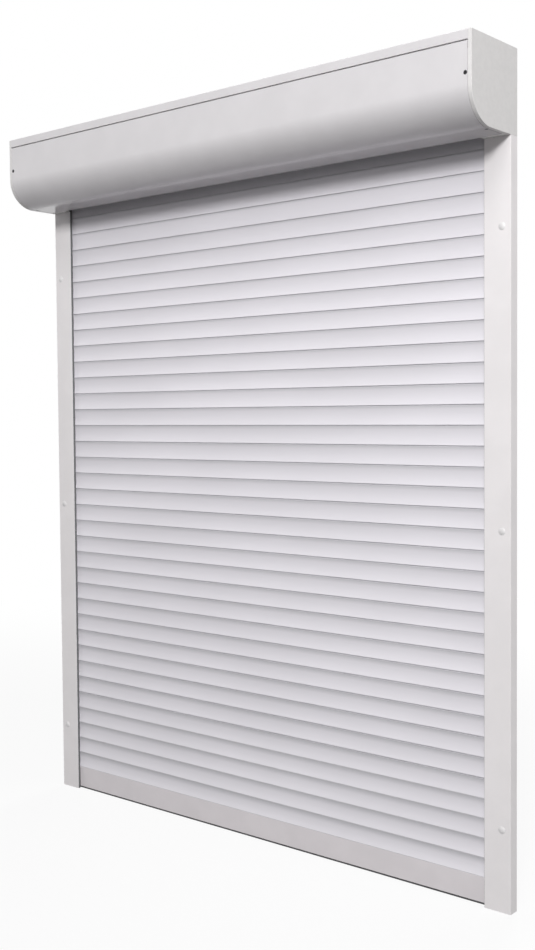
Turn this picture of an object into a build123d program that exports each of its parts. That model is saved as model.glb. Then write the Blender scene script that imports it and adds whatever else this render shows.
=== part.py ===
from build123d import *
from math import asin, degrees, radians, tan
import os

# Roller shutter with a quarter-round box, two guide rails and a curtain of interlocking slats.
# Millimetres. X runs along the width, +Y points at the wall, +Z is up.
# The origin is at the middle of the bottom, half way through the depth of the box.

# Overall sizes
clear_width = 1107.0
rail_width = 53.0
rail_depth = 22.0
rail_height = 1356.0
box_size = 150.0

# Box sheets and their shape
sheet = 1.2
cover_radius = 62.0
top_strip = 16.6
seam_gap = 2.0
tongue_length = 11.0
hem_height = 6.0
hem_radius = 2.4
inlet_gap = 15.0
seat_gap = 0.3
overrun = 2.0

# End plates
plate_thickness = 6.5
plate_web = 2.5
plate_rim = 3.0
flange_length = 12.0
flange_wall = 2.0
tab_thickness = 2.0
spigot_length = 40.0
spigot_gap = 0.8
spigot_wall = 2.2

# Guide rails
rail_wall = 1.3
channel_depth = 18.0
channel_width = 10.0
lip_length = 8.0
seal_slot = 2.0
seal_gap = 0.3
plug_hole_radius = 6.5
screw_hole_radius = 3.25
hole_inset = 17.5
hole_count = 3
hole_from_foot = 147.5
hole_from_top = 153.5

# Curtain slats
closed_slats = 5
top_reach = 45.0
slat_thickness = 8.0
slat_bow = 2.4
slat_body = 35.6
shoulder_gap = 0.2
light_gap = 1.2
hook_front = -1.8
hook_sheet = 0.9
hook_reach = 2.6
hook_head = 1.2
hook_clear = 0.3
slide_clear = 0.4
pocket_lip = 1.8
slat_end_gap = 2.5
clip_thickness = 1.5
clip_length = 26.0
clip_width = 4.8

# Bottom bar
bar_top = 50.8
bar_lean = 2.3
bar_rear = 3.5
bar_wall = 1.4
bar_shelf = 10.0
bar_crown = 4.0
seal_height = 3.6
groove_width = 4.4
groove_height = 2.6
groove_mouth = 2.0
groove_wall = 1.4
plug_depth = 14.0

# Barrel and drive
barrel_flats = 60.0
barrel_sides = 8
barrel_wall = 0.8
barrel_end_gap = 40.0
fit_gap = 0.3
motor_radius = 22.5
motor_length = 466.0
head_radius = 26.0
head_length = 22.0
head_chamfer = 1.5
head_pin = 16.0
head_pin_length = 13.0
crown_length = 18.0
wheel_length = 16.0
wheel_gap = 4.0
shaft_radius = 8.0
shaft_length = 26.0
shaft_socket = 8.0
run_gap = 0.3
bracket_plate = 3.0
bracket_width = 72.0
bracket_boss = 34.0
bracket_corner = 6.0
capsule_depth = 50.0
capsule_wall = 3.0
pin_radius = 6.0
pin_end_gap = 2.0
bearing_radius = 14.0
bearing_width = 10.0
bearing_gap = 0.05
socket_wall = 4.0

# Hanger straps
strap_count = 3
strap_pitch = 350.0
strap_width = 40.0
strap_thickness = 0.8
strap_clip_height = 6.5

# Small parts
plug_head_radius = 7.0
plug_dome = 2.2
plug_fin = 1.6
plug_stem = 4.0
plug_fit = 0.15
cover_screw_radius = 3.5
cover_screw_shank = 1.45
cover_screw_length = 8.0
cover_screw_inset = 5.5
front_screw_drop = 70.0
guide_height = 34.0
guide_flare = 8.0

# Planes that several pieces share
half_clear = clear_width / 2
half_width = half_clear + rail_width
half_box = box_size / 2
wall_y = half_box
front_y = -half_box
rail_front = wall_y - rail_depth
rail_middle = wall_y - rail_depth / 2
box_bottom = rail_height
box_top = box_bottom + box_size
plate_inner = half_width - plate_thickness
web_inner = half_width - plate_web
sheet_half = plate_inner - seat_gap
seam_top = box_top - top_strip
seam_bottom = seam_top - seam_gap
arc_y = front_y + cover_radius
arc_z = box_bottom + cover_radius
hem_y = rail_front - inlet_gap
barrel_z = box_bottom + box_size / 2
barrel_half = plate_inner - barrel_end_gap
barrel_flat = barrel_flats / 2
octagon_turn = 180 / barrel_sides
flange_inset = sheet + seat_gap
cover_screw_places = [
    place
    for x in (cover_screw_inset - plate_inner, plate_inner - cover_screw_inset)
    for place in (
        Location((x, front_y, box_top - front_screw_drop)),
        Location((x, arc_y + cover_screw_inset, box_bottom), (90, 0, 0)),
    )
]
screw_way = Location((0, 0, 0), (90, 0, 0))

# The curtain hangs in the middle of the rails' channels
slat_half = slat_thickness / 2
closed_pitch = slat_body + shoulder_gap
open_pitch = closed_pitch + light_gap
channel_end = half_clear + channel_depth
slat_end = channel_end - slat_end_gap
neck_rear = hook_front + hook_sheet
head_rear = hook_front + hook_reach
head_bottom = open_pitch + pocket_lip + hook_clear
head_top = head_bottom + hook_head
pocket_front = hook_front - slide_clear
pocket_mouth = neck_rear + hook_clear
pocket_rear = head_rear + hook_clear
pocket_top = head_top - closed_pitch + hook_clear
first_slat = bar_top + shoulder_gap
first_hanging = first_slat + closed_slats * closed_pitch + light_gap
hanging_slats = 1 + int((box_bottom + top_reach - first_hanging) // open_pitch)
slat_count = closed_slats + hanging_slats
hole_pitch = (rail_height - hole_from_foot - hole_from_top) / (hole_count - 1)
hole_heights = [hole_from_foot + row * hole_pitch for row in range(hole_count)]
curtain_plane = Plane(origin=(0, rail_middle, 0), x_dir=(0, 1, 0), z_dir=(1, 0, 0))

os.makedirs("parts", exist_ok=True)


def save(builder, name):
    """Label a finished piece and write it under its own name."""
    builder.part.label = name
    export_step(builder.part, f"parts/{name}.step")


def slat_bottom(number):
    """Height of a slat's lower edge: the lowest slats rest on each other, the others hang apart."""
    if number <= closed_slats:
        return first_slat + (number - 1) * closed_pitch
    return first_hanging + (number - 1 - closed_slats) * open_pitch


def hook_points(shoulder):
    """The hook that stands on an upper edge, from front to rear."""
    rise = shoulder - slat_body
    return [
        (hook_front, shoulder),
        (hook_front, head_top + rise),
        (head_rear, head_top + rise),
        (head_rear, head_bottom + rise),
        (neck_rear, head_bottom + rise),
        (neck_rear, shoulder),
    ]


def pocket_points(foot):
    """The pocket in a lower edge that holds the hook of the piece below, from rear to front."""
    return [
        (pocket_mouth, foot),
        (pocket_mouth, foot + pocket_lip),
        (pocket_rear, foot + pocket_lip),
        (pocket_rear, foot + pocket_top),
        (pocket_front, foot + pocket_top),
        (pocket_front, foot),
    ]


# Side view of the box: straight back, top and front, and a quarter round to the underside
with BuildSketch() as box_profile:
    with BuildLine():
        Polyline(
            (arc_y, box_bottom),
            (wall_y, box_bottom),
            (wall_y, box_top),
            (front_y, box_top),
            (front_y, arc_z),
        )
        CenterArc((arc_y, arc_z), cover_radius, 180, 90)
    make_face()


def box_inset(amount):
    """The box's side view, drawn in by an even amount."""
    return offset(box_profile.sketch, amount=-amount, mode=Mode.PRIVATE)


# Rear and top of the box, with the strip above the seam and a tongue behind the cover
with BuildPart() as box_casing:
    tongue_y = front_y + sheet + seat_gap
    with BuildSketch(Plane.YZ):
        with BuildLine():
            Polyline(
                (wall_y, box_bottom),
                (wall_y, box_top),
                (front_y, box_top),
                (front_y, seam_top),
                (tongue_y, seam_top),
                (tongue_y, seam_top - tongue_length),
            )
            offset(amount=sheet, side=Side.LEFT, kind=Kind.INTERSECTION)
        make_face()
    extrude(amount=sheet_half, both=True)
    top_edges = box_casing.edges().filter_by(Axis.X).group_by(Axis.Z)[-1]
    fillet(top_edges, radius=sheet / 2)
save(box_casing, "box_casing")

# Cover that unscrews: flat front, quarter round, flat underside and a turned-up edge
with BuildPart() as inspection_cover:
    with BuildSketch(Plane.YZ):
        with BuildLine():
            Line((front_y, seam_bottom), (front_y, arc_z))
            CenterArc((arc_y, arc_z), cover_radius, 180, 90)
            Line((arc_y, box_bottom), (hem_y - hem_radius, box_bottom))
            TangentArc(
                (hem_y - hem_radius, box_bottom),
                (hem_y, box_bottom + hem_radius),
                tangent=(1, 0),
            )
            Line((hem_y, box_bottom + hem_radius), (hem_y, box_bottom + hem_height))
            offset(amount=sheet, side=Side.LEFT)
        make_face()
    extrude(amount=sheet_half, both=True)
    for place in cover_screw_places:
        with Locations(place * screw_way):
            Hole(cover_screw_radius + plug_fit, depth=sheet + overrun)
save(inspection_cover, "inspection_cover")

# Die-cast end plate: a flat web with a rim flush with the sheets and a flange inside them
with BuildPart() as end_plate_right:
    with BuildSketch(Plane.YZ.offset(plate_inner)):
        add(box_profile.sketch)
    extrude(amount=plate_thickness)
    with BuildSketch(Plane.YZ.offset(plate_inner)):
        add(box_inset(plate_rim))
    extrude(amount=plate_thickness - plate_web, mode=Mode.SUBTRACT)
    with BuildSketch(Plane.YZ.offset(plate_inner - flange_length)):
        add(box_inset(flange_inset))
        add(box_inset(flange_inset + flange_wall), mode=Mode.SUBTRACT)
    extrude(amount=flange_length + plate_thickness - plate_web)
    # Notches let the sheet's tongue pass at the front and the slats at the rear
    notch_middle = seam_top - tongue_length / 2
    with Locations((plate_inner - flange_length / 2, front_y, notch_middle)):
        notch_height = tongue_length + 2 * sheet + overrun
        Box(flange_length, 2 * (flange_inset + flange_wall + overrun), notch_height, mode=Mode.SUBTRACT)
    with Locations((plate_inner - flange_length / 2, wall_y, box_bottom)):
        notch_depth = wall_y - hem_y + sheet
        Box(flange_length, 2 * notch_depth + overrun, 2 * guide_height + overrun, mode=Mode.SUBTRACT)
    for place in cover_screw_places:
        with Locations(place * screw_way):
            Hole(cover_screw_shank + plug_fit, depth=cover_screw_length + plug_fit)
    # Tab that closes the slot between the cover's edge and the rail's front
    tab_ends = (half_clear + seat_gap, plate_inner + plate_rim)
    tab_sides = (hem_y + seat_gap, rail_front - seat_gap)
    with BuildSketch(Plane.XY.offset(box_bottom)):
        with Locations((sum(tab_ends) / 2, sum(tab_sides) / 2)):
            Rectangle(tab_ends[1] - tab_ends[0], tab_sides[1] - tab_sides[0])
    extrude(amount=tab_thickness)
    # Hollow spigot that plugs into the rail's outer chamber
    spigot_in = half_clear + channel_depth + rail_wall + spigot_gap
    spigot_out = half_width - rail_wall - spigot_gap
    spigot_size = (spigot_out - spigot_in, rail_depth - 2 * (rail_wall + spigot_gap))
    spigot_x = (spigot_in + spigot_out) / 2
    with BuildSketch(Plane.XY.offset(box_bottom - spigot_length)):
        with Locations((spigot_x, rail_middle)):
            Rectangle(*spigot_size)
            Rectangle(*[size - 2 * spigot_wall for size in spigot_size], mode=Mode.SUBTRACT)
    extrude(amount=spigot_length + plate_rim)
save(end_plate_right, "end_plate_right")

with BuildPart() as end_plate_left:
    mirror(end_plate_right.part, about=Plane.YZ)
save(end_plate_left, "end_plate_left")


def rail_section():
    """Section of the right rail: an open channel for the slats beside a closed screw chamber."""
    with Locations((half_clear + rail_width / 2, rail_middle)):
        Rectangle(rail_width, rail_depth)
    chamber_in = channel_end + rail_wall
    chamber_out = half_width - rail_wall
    inner_depth = rail_depth - 2 * rail_wall
    with Locations(((chamber_in + chamber_out) / 2, rail_middle)):
        Rectangle(chamber_out - chamber_in, inner_depth, mode=Mode.SUBTRACT)
    lip_in = half_clear + lip_length
    with Locations(((lip_in + channel_end) / 2, rail_middle)):
        Rectangle(channel_end - lip_in, inner_depth, mode=Mode.SUBTRACT)
    with Locations((half_clear + lip_length / 2, rail_middle)):
        Rectangle(lip_length, channel_width, mode=Mode.SUBTRACT)
        Rectangle(lip_length - 2 * rail_wall, inner_depth, mode=Mode.SUBTRACT)
    # Each lip keeps two narrow claws that hold the brush seal
    claw_length = (lip_length - seal_slot) / 2
    claw_y = (channel_width + rail_wall) / 2
    for side in (-1, 1):
        for end in (-1, 1):
            claw_x = half_clear + lip_length / 2 + end * (lip_length - claw_length) / 2
            with Locations((claw_x, rail_middle + side * claw_y)):
                Rectangle(claw_length, rail_wall)


# Extruded guide rail with its screw holes through the chamber
with BuildPart() as guide_rail_right:
    with BuildSketch(Plane.XY):
        rail_section()
    extrude(amount=rail_height)
    hole_x = half_width - hole_inset
    for hole_z in hole_heights:
        with Locations(Plane(origin=(hole_x, rail_front, hole_z), z_dir=(0, -1, 0))):
            Hole(plug_hole_radius, depth=rail_wall + overrun)
        with Locations(Plane(origin=(hole_x, wall_y, hole_z), z_dir=(0, 1, 0))):
            Hole(screw_hole_radius, depth=rail_wall + overrun)
save(guide_rail_right, "guide_rail_right")

with BuildPart() as guide_rail_left:
    mirror(guide_rail_right.part, about=Plane.YZ)
save(guide_rail_left, "guide_rail_left")

# Brush seals clipped into the rail lips, one in front of the slats and one behind, per rail
with BuildPart() as rail_seals:
    root_depth = (rail_depth - channel_width) / 2 - 2 * rail_wall - 2 * seal_gap / 2
    root_width = lip_length - 2 * rail_wall - seal_gap
    for side in (-1, 1):
        for face in (-1, 1):
            root_y = rail_middle + face * (rail_depth / 2 - rail_wall - root_depth / 2)
            tip_y = rail_middle + face * (slat_half + seal_gap)
            with BuildSketch(Plane.XY):
                with Locations((side * (half_clear + lip_length / 2), root_y)):
                    Rectangle(root_width, root_depth)
                with Locations((side * (half_clear + lip_length / 2), (root_y + tip_y) / 2)):
                    Rectangle(seal_slot - seal_gap, abs(tip_y - root_y))
            extrude(amount=rail_height)
save(rail_seals, "rail_seals")

# Domed plugs with crossed fins that close the screw access holes in the rail fronts
dome_radius = (plug_head_radius**2 + plug_dome**2) / (2 * plug_dome)
dome_angle = degrees(asin(plug_head_radius / dome_radius))
with BuildPart() as rail_plug:
    with BuildSketch(Plane.XY):
        with BuildLine():
            CenterArc((0, dome_radius - plug_dome), dome_radius, -90, dome_angle)
            Polyline((plug_head_radius, 0), (0, 0), (0, -plug_dome))
        make_face()
    revolve(axis=Axis.Y)
    with BuildSketch(Plane.XZ):
        for turn in (0, 90):
            Rectangle(2 * (plug_hole_radius - plug_fit), plug_fin, rotation=turn)
    extrude(amount=-(rail_wall + plug_stem))

with BuildPart() as rail_plugs:
    for side in (-1, 1):
        for hole_z in hole_heights:
            with Locations((side * (half_width - hole_inset), rail_front, hole_z)):
                add(rail_plug.part)
save(rail_plugs, "rail_plugs")

# Funnels on the rail tops that lead the slats into the channels
with BuildPart() as inlet_guides:
    guide_front = rail_front + rail_wall
    guide_rear = wall_y - sheet - seat_gap
    guide_out = channel_end + rail_wall + seat_gap
    guide_top = box_bottom + guide_height
    mouth_front = rail_middle - channel_width / 2
    mouth_rear = rail_middle + channel_width / 2
    with BuildSketch(Plane.YZ.offset(half_clear)):
        with Locations(((guide_front + guide_rear) / 2, box_bottom + guide_height / 2)):
            Rectangle(guide_rear - guide_front, guide_height)
    extrude(amount=guide_out - half_clear)
    with BuildSketch(Plane.YZ.offset(half_clear)):
        with BuildLine():
            Polyline(
                (mouth_front, guide_top - guide_flare),
                (mouth_front, box_bottom),
                (mouth_rear, box_bottom),
                (mouth_rear, guide_top),
                (guide_front, guide_top),
            )
            ThreePointArc(
                (guide_front, guide_top),
                ((guide_front + 2 * mouth_front) / 3, guide_top - guide_flare / 2),
                (mouth_front, guide_top - guide_flare),
            )
        make_face()
    extrude(amount=channel_depth, mode=Mode.SUBTRACT)
    mirror(about=Plane.YZ)
save(inlet_guides, "inlet_guides")

# Countersunk screws that hold the cover to the end plates, their heads flush with the sheet
with BuildPart() as cover_screw:
    with BuildSketch(Plane.XY):
        with BuildLine():
            Polyline(
                (0, 0),
                (cover_screw_radius, 0),
                (cover_screw_shank, flange_inset),
                (cover_screw_shank, cover_screw_length),
                (0, cover_screw_length),
                close=True,
            )
        make_face()
    revolve(axis=Axis.Y)

with BuildPart() as cover_screws:
    for place in cover_screw_places:
        with Locations(place):
            add(cover_screw.part)
save(cover_screws, "cover_screws")

# Section of a slat: hollow side to the front, hook on top, pocket below
with BuildSketch() as slat_section:
    shoulder_rear = slat_half - slat_bow
    with BuildLine():
        ThreePointArc(
            (-slat_half, 0),
            (-slat_half + slat_bow, slat_body / 2),
            (-slat_half, slat_body),
        )
        Polyline((-slat_half, slat_body), *hook_points(slat_body), (shoulder_rear, slat_body))
        ThreePointArc(
            (shoulder_rear, slat_body),
            (slat_half, slat_body / 2),
            (shoulder_rear, 0),
        )
        Polyline((shoulder_rear, 0), *pocket_points(0), (-slat_half, 0))
    make_face()

# The slats, each hooked over the one below; every second one has clips at its ends
for number in range(1, slat_count + 1):
    foot = slat_bottom(number)
    with BuildPart() as slat:
        with BuildSketch(Plane(origin=(0, rail_middle, foot), x_dir=(0, 1, 0), z_dir=(1, 0, 0))):
            add(slat_section.sketch)
        extrude(amount=slat_end, both=True)
        if number % 2 == 0:
            with BuildSketch(Plane.YZ.offset(slat_end)):
                with Locations((rail_middle + slat_bow / 2, foot + slat_body / 2)):
                    Rectangle(clip_width, clip_length)
            clip = extrude(amount=clip_thickness)
            mirror(clip, about=Plane.YZ)
    save(slat, f"slat_{number:02d}")


def bar_front(height):
    """The bar's front face leans back towards the bottom."""
    return -slat_half + bar_lean * (bar_top - height) / (bar_top - seal_height)


# Hollow bottom bar with a hook for the first slat and a groove for its seal
bar_foot = (bar_front(seal_height) + bar_rear) / 2
with BuildPart() as bottom_bar:
    with BuildSketch(curtain_plane):
        with BuildLine():
            Polyline(
                (bar_front(bar_top), bar_top),
                *hook_points(bar_top),
                (bar_rear, bar_top),
                (bar_rear, seal_height),
                (bar_front(seal_height), seal_height),
                close=True,
            )
        make_face()
        with BuildLine():
            Polyline(
                (bar_front(bar_top - bar_crown) + bar_wall, bar_top - bar_crown),
                (bar_rear - bar_wall, bar_top - bar_crown),
                (bar_rear - bar_wall, bar_shelf),
                (bar_front(bar_shelf) + bar_wall, bar_shelf),
                close=True,
            )
        make_face(mode=Mode.SUBTRACT)
        with Locations((bar_foot, seal_height + groove_wall + groove_height / 2)):
            Rectangle(groove_width, groove_height, mode=Mode.SUBTRACT)
        with Locations((bar_foot, seal_height + groove_wall / 2)):
            Rectangle(groove_mouth, groove_wall, mode=Mode.SUBTRACT)
    extrude(amount=slat_end, both=True)
save(bottom_bar, "bottom_bar")

# Rubber seal pushed into the bar's groove
with BuildPart() as bottom_seal:
    with BuildSketch(curtain_plane):
        with Locations((bar_foot, seal_height / 2)):
            Rectangle(bar_rear - bar_front(seal_height) - seal_gap, seal_height)
        fillet(vertices().group_by(Axis.Y)[0], radius=seal_height / 3)
        with Locations((bar_foot, seal_height + groove_wall / 2)):
            Rectangle(groove_mouth - seal_gap, groove_wall + 2 * seal_gap)
        with Locations((bar_foot, seal_height + groove_wall + groove_height / 2)):
            Rectangle(groove_width - seal_gap, groove_height - 2 * seal_gap)
    extrude(amount=slat_end, both=True)
save(bottom_seal, "bottom_seal")

# Plastic caps plugged into the bar's ends, which glide in the rail channels
with BuildPart() as bar_end_caps:
    with BuildSketch(Plane(origin=(slat_end, rail_middle, 0), x_dir=(0, 1, 0), z_dir=(1, 0, 0))):
        with BuildLine():
            Polyline(
                (bar_front(bar_top), bar_top),
                (bar_rear, bar_top),
                (bar_rear, seal_height),
                (bar_front(seal_height), seal_height),
                close=True,
            )
        make_face()
    extrude(amount=clip_thickness)
    cap_low = bar_shelf + seal_gap
    cap_high = bar_top - bar_crown - seal_gap
    with BuildSketch(Plane(origin=(slat_end, rail_middle, 0), x_dir=(0, 1, 0), z_dir=(1, 0, 0))):
        with BuildLine():
            Polyline(
                (bar_front(cap_high) + bar_wall + seal_gap, cap_high),
                (bar_rear - bar_wall - seal_gap, cap_high),
                (bar_rear - bar_wall - seal_gap, cap_low),
                (bar_front(cap_low) + bar_wall + seal_gap, cap_low),
                close=True,
            )
        make_face()
    extrude(amount=-plug_depth)
    mirror(about=Plane.YZ)
save(bar_end_caps, "bar_end_caps")


# Octagonal steel barrel
inner_flat = barrel_flat - barrel_wall
with BuildPart() as barrel_tube:
    with BuildSketch(Plane.YZ):
        with Locations((0, barrel_z)):
            RegularPolygon(barrel_flat, barrel_sides, major_radius=False, rotation=octagon_turn)
            RegularPolygon(
                inner_flat,
                barrel_sides,
                major_radius=False,
                rotation=octagon_turn,
                mode=Mode.SUBTRACT,
            )
    extrude(amount=barrel_half, both=True)
save(barrel_tube, "barrel_tube")

# Tubular motor: tube, head outside the barrel and a square pin for the bracket
motor_start = barrel_half + run_gap
motor_end = motor_start - motor_length
with BuildPart() as tubular_motor:
    with BuildSketch(Plane.YZ.offset(motor_end)):
        with Locations((0, barrel_z)):
            Circle(motor_radius)
    extrude(amount=motor_length)
    with BuildSketch(Plane.YZ.offset(motor_start)):
        with Locations((0, barrel_z)):
            Circle(head_radius)
    extrude(amount=head_length)
    chamfer(edges().filter_by(GeomType.CIRCLE).group_by(Axis.X)[-1], length=head_chamfer)
    with BuildSketch(Plane.YZ.offset(motor_start + head_length)):
        with Locations((0, barrel_z)):
            Rectangle(head_pin, head_pin)
    extrude(amount=head_pin_length)
    with Locations(Plane(origin=(motor_end, 0, barrel_z), z_dir=(-1, 0, 0))):
        Hole(shaft_radius + run_gap, depth=shaft_socket + run_gap)
save(tubular_motor, "tubular_motor")

# Ring that turns with the barrel on the motor's near end and drives the limit switches
with BuildPart() as motor_crown:
    with BuildSketch(Plane.YZ.offset(barrel_half - crown_length)):
        with Locations((0, barrel_z)):
            RegularPolygon(inner_flat - fit_gap, barrel_sides, major_radius=False, rotation=octagon_turn)
            Circle(motor_radius + run_gap, mode=Mode.SUBTRACT)
    extrude(amount=crown_length)
save(motor_crown, "motor_crown")

# Drive wheel on the motor's output shaft
with BuildPart() as drive_wheel:
    wheel_start = motor_end - wheel_gap - wheel_length
    with BuildSketch(Plane.YZ.offset(wheel_start)):
        with Locations((0, barrel_z)):
            RegularPolygon(inner_flat - fit_gap, barrel_sides, major_radius=False, rotation=octagon_turn)
    extrude(amount=wheel_length)
    with BuildSketch(Plane.YZ.offset(motor_end + shaft_socket)):
        with Locations((0, barrel_z)):
            Circle(shaft_radius)
    extrude(amount=-shaft_length)
save(drive_wheel, "drive_wheel")

# Bracket on the right end plate that holds the motor's pin
with BuildPart() as motor_bracket:
    with BuildSketch(Plane.YZ.offset(web_inner - bracket_plate)):
        with Locations((0, barrel_z)):
            Rectangle(bracket_width, bracket_width)
            chamfer(vertices(), length=bracket_corner)
    extrude(amount=bracket_plate)
    boss_start = motor_start + head_length + run_gap
    with BuildSketch(Plane.YZ.offset(boss_start)):
        with Locations((0, barrel_z)):
            Rectangle(bracket_boss, bracket_boss)
            Rectangle(head_pin + 2 * fit_gap, head_pin + 2 * fit_gap, mode=Mode.SUBTRACT)
    extrude(amount=web_inner - bracket_plate - boss_start)
save(motor_bracket, "motor_bracket")

# Capsule in the barrel's left end, with the pin that the barrel turns on
pin_end = web_inner - pin_end_gap
with BuildPart() as end_capsule:
    with BuildSketch(Plane.YZ.offset(-barrel_half)):
        with Locations((0, barrel_z)):
            RegularPolygon(inner_flat - fit_gap, barrel_sides, major_radius=False, rotation=octagon_turn)
    extrude(amount=capsule_depth)
    with BuildSketch(Plane.YZ.offset(-barrel_half + capsule_wall)):
        with Locations((0, barrel_z)):
            hollow_flat = inner_flat - fit_gap - capsule_wall
            RegularPolygon(hollow_flat, barrel_sides, major_radius=False, rotation=octagon_turn)
    extrude(amount=capsule_depth, mode=Mode.SUBTRACT)
    with BuildSketch(Plane.YZ.offset(-barrel_half + capsule_wall)):
        with Locations((0, barrel_z)):
            Circle(pin_radius)
    extrude(amount=-(pin_end - barrel_half + capsule_wall))
save(end_capsule, "end_capsule")

# Sealed ball bearing for the pin
bearing_start = -(web_inner - bracket_plate)
with BuildPart() as ball_bearing:
    with BuildSketch(Plane.XZ):
        bore = pin_radius + bearing_gap
        ring_middle = barrel_z + (bore + bearing_radius) / 2
        with Locations((bearing_start + bearing_width / 2, ring_middle)):
            Rectangle(bearing_width, bearing_radius - bore)
    revolve(axis=Axis((0, 0, barrel_z), (1, 0, 0)))
save(ball_bearing, "ball_bearing")

# Bracket on the left end plate with a round seat for the bearing
with BuildPart() as bearing_bracket:
    seat_radius = bearing_radius + bearing_gap
    with BuildSketch(Plane.YZ.offset(-web_inner)):
        with Locations((0, barrel_z)):
            Rectangle(bracket_width, bracket_width)
            chamfer(vertices(), length=bracket_corner)
            Circle(pin_radius + run_gap, mode=Mode.SUBTRACT)
    extrude(amount=bracket_plate)
    with BuildSketch(Plane.YZ.offset(bearing_start)):
        with Locations((0, barrel_z)):
            socket_flat = seat_radius + socket_wall
            RegularPolygon(socket_flat, barrel_sides, major_radius=False, rotation=octagon_turn)
            Circle(seat_radius, mode=Mode.SUBTRACT)
    extrude(amount=bearing_width)
save(bearing_bracket, "bearing_bracket")

# Spring steel hangers from the barrel's top flat to the upper slat, each ending in a hooked clip
with BuildPart() as hanger_straps:
    flat_half = barrel_flat * tan(radians(octagon_turn))
    clip_foot = slat_bottom(slat_count) + open_pitch
    clip_rear = pocket_rear + hook_sheet
    strap_top = barrel_z + barrel_flat
    strap_foot = clip_foot + strap_clip_height - strap_thickness
    strap_route = [(-flat_half, strap_top), (flat_half, strap_top), (rail_middle, strap_foot)]
    # A steep hanger also lies on the barrel's next corner
    if strap_top - strap_foot > rail_middle - flat_half:
        strap_route.insert(-1, (barrel_flat, barrel_z + flat_half))
    for column in range(strap_count):
        strap_x = (column - (strap_count - 1) / 2) * strap_pitch
        start = strap_x - strap_width / 2
        with BuildSketch(Plane.YZ.offset(start)):
            with BuildLine():
                Polyline(*strap_route)
                offset(amount=strap_thickness, side=Side.LEFT, kind=Kind.INTERSECTION)
            make_face()
        extrude(amount=strap_width)
        with BuildSketch(Plane(origin=(start, rail_middle, 0), x_dir=(0, 1, 0), z_dir=(1, 0, 0))):
            with BuildLine():
                Polyline(
                    (-slat_half, clip_foot),
                    (-slat_half, clip_foot + strap_clip_height),
                    (clip_rear, clip_foot + strap_clip_height),
                    (clip_rear, clip_foot),
                    *pocket_points(clip_foot),
                    close=True,
                )
            make_face()
        extrude(amount=strap_width)
save(hanger_straps, "hanger_straps")
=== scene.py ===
import math
import random

import bmesh
import bpy
from mathutils import Matrix, Vector


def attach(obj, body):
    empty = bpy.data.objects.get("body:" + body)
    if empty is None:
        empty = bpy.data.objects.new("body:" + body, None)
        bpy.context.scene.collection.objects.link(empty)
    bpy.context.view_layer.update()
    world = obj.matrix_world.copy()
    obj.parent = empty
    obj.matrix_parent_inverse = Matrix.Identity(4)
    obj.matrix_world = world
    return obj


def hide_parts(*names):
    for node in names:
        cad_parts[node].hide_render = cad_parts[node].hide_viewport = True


# Roller shutter: finely shaped pieces ride on the CAD model's bodies and replace its nodes,
# the other nodes get a finish, and a white studio with the photograph's camera goes round it.

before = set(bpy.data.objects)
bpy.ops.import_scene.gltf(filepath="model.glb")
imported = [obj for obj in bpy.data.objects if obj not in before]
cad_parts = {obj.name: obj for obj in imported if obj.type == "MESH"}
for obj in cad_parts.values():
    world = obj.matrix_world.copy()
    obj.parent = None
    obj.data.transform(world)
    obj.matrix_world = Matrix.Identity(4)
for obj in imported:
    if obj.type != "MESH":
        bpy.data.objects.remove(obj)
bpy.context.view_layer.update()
draw = random.Random(37)

# Sizes in millimetres, as in the CAD source
mm = 0.001

# Guide rails, whose backs lie against the wall
wall_y = 75.0
half_clear = 553.5
half_width = 606.5
rail_front = 53.0
rail_middle = 64.0
rail_height = 1356.0
rail_wall = 1.3
lip_length = 8.0
channel_width = 10.0
channel_depth = 18.0
hole_x = half_width - 17.5
hole_heights = (147.5, 675.0, 1202.5)

# Box: casing, cover and end plates
front_y = -75.0
box_top = 1506.0
box_bottom = 1356.0
cover_radius = 62.0
arc_y = front_y + cover_radius
arc_z = box_bottom + cover_radius
sheet = 1.2
seat_gap = 0.3
seam_top = 1489.4
seam_bottom = 1487.0
tongue_length = 11.0
hem_y = 38.0
hem_height = 6.0
hem_radius = 2.4
bead = 0.9
plate_inner = 600.0
plate_rim = 3.0
web_inner = 604.0
sheet_half = plate_inner - seat_gap
cover_half = plate_inner - 1.1
flange_inset = sheet + seat_gap
flange_wall = 2.0
flange_length = 12.0
screw_inset = 5.5
front_screw_z = box_top - 70.0
under_screw_y = arc_y + screw_inset

# Curtain: the lowest slats stand closed, the others hang drawn apart at a longer pitch
slat_end = 569.0
slat_half = 4.0
slat_bow = 2.4
slat_body = 35.6
slat_count = 37
closed_slats = 5
closed_pitch = 35.8
open_pitch = 37.0
first_slat = 51.0
first_hanging = 231.2


# Finishes


class Signal:
    """A value, colour or vector inside a node tree. Python's operators on it add Math nodes."""

    def __init__(self, owner, socket):
        self.owner = owner
        self.socket = socket

    def _math(self, operation, *terms):
        return self.owner.node("ShaderNodeMath", {"operation": operation}, dict(enumerate(terms)))

    def __add__(self, other):
        return self._math("ADD", self, other)

    __radd__ = __add__

    def __sub__(self, other):
        return self._math("SUBTRACT", self, other)

    def __rsub__(self, other):
        return self._math("SUBTRACT", other, self)

    def __mul__(self, other):
        return self._math("MULTIPLY", self, other)

    __rmul__ = __mul__

    def between(self, low, high):
        """Runs from 0 at low to 1 at high, smoothly."""
        return self.owner.node(
            "ShaderNodeMapRange",
            {"interpolation_type": "SMOOTHSTEP"},
            {"Value": self, "From Min": low, "From Max": high},
        )


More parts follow.
